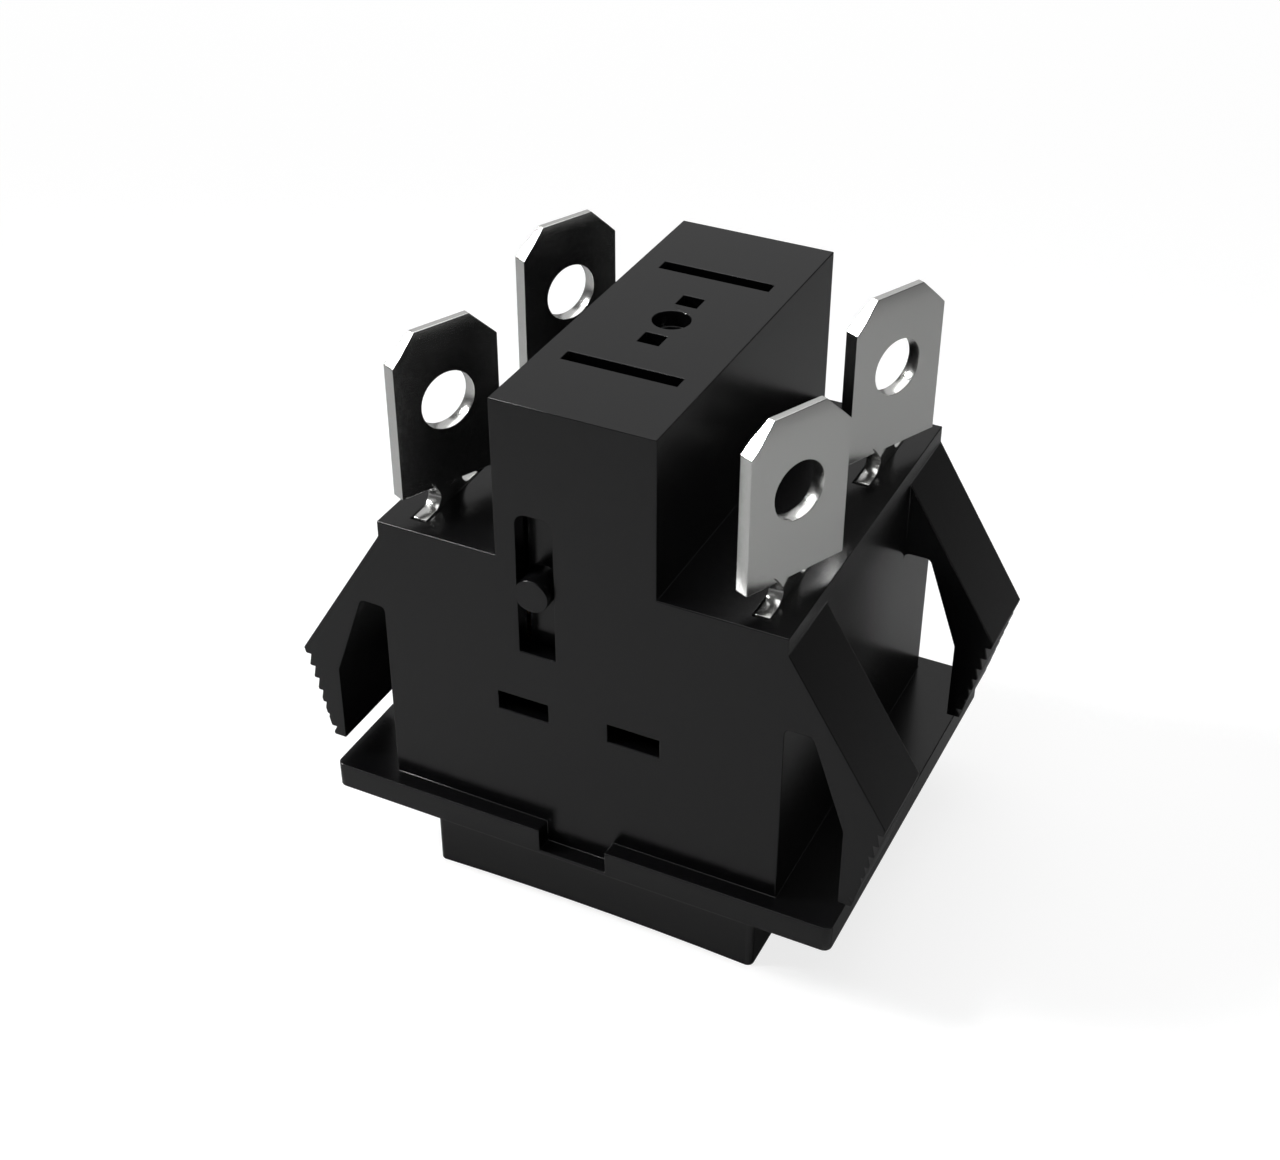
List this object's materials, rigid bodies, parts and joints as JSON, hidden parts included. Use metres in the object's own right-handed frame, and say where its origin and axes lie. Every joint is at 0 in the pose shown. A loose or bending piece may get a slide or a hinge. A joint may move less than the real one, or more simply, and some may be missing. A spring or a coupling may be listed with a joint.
{
  "type": "push button switch",
  "caption": "Snap-in momentary push button switch: square button and flange, boxy housing with a tower, serrated snap arms and upright tab terminals.",
  "frame": {"origin": "middle of the button's face, on which the switch stands", "axes": "+Z from the button to the terminals; +X along the long side of the flange; +Y from the face with the slot of the guide peg to the plain rear face"},
  "size_m": [0.0342, 0.024, 0.034],
  "materials": {
    "moulded_black": "fine grained",
    "carrier_black": "satin",
    "plated_strip": "bright plated",
    "bridge_brass": "rolled",
    "contact_silver": "coined",
    "spring_wire": "drawn"
  },
  "bodies": {
    "housing": {"housing": "moulded_black", "return_spring": "spring_wire", "terminal_front_left": "plated_strip", "fixed_contact_front_left": "contact_silver", "terminal_front_right": "plated_strip", "fixed_contact_front_right": "contact_silver", "terminal_rear_left": "plated_strip", "fixed_contact_rear_left": "contact_silver", "terminal_rear_right": "plated_strip", "fixed_contact_rear_right": "contact_silver"},
    "plunger": {"button": "moulded_black", "contact_carrier": "carrier_black", "contact_spring_front": "spring_wire", "contact_spring_rear": "spring_wire"},
    "front_bridge": {"bridge_front": "bridge_brass", "moving_contact_front_left": "contact_silver", "moving_contact_front_right": "contact_silver"},
    "rear_bridge": {"bridge_rear": "bridge_brass", "moving_contact_rear_left": "contact_silver", "moving_contact_rear_right": "contact_silver"}
  },
  "joints": [
    {"name": "button_press", "type": "slide", "parent": "housing", "child": "plunger", "axis": [0, 0, 1], "range_m": [0, 0.0034], "stiffness_N_per_m": 600, "springref_m": -0.004, "deforming": ["return_spring"]},
    {"name": "front_bridge_float", "type": "slide", "parent": "plunger", "child": "front_bridge", "axis": [0, 0, 1], "range_m": [-0.00142, 0], "deforming": ["contact_spring_front"]},
    {"name": "rear_bridge_float", "type": "slide", "parent": "plunger", "child": "rear_bridge", "axis": [0, 0, 1], "range_m": [-0.00142, 0], "deforming": ["contact_spring_rear"]}
  ],
  "couplings": [
    {"joint": "front_bridge_float", "follows": "button_press", "ratio": -0.4176},
    {"joint": "rear_bridge_float", "follows": "button_press", "ratio": -0.4176}
  ]
}
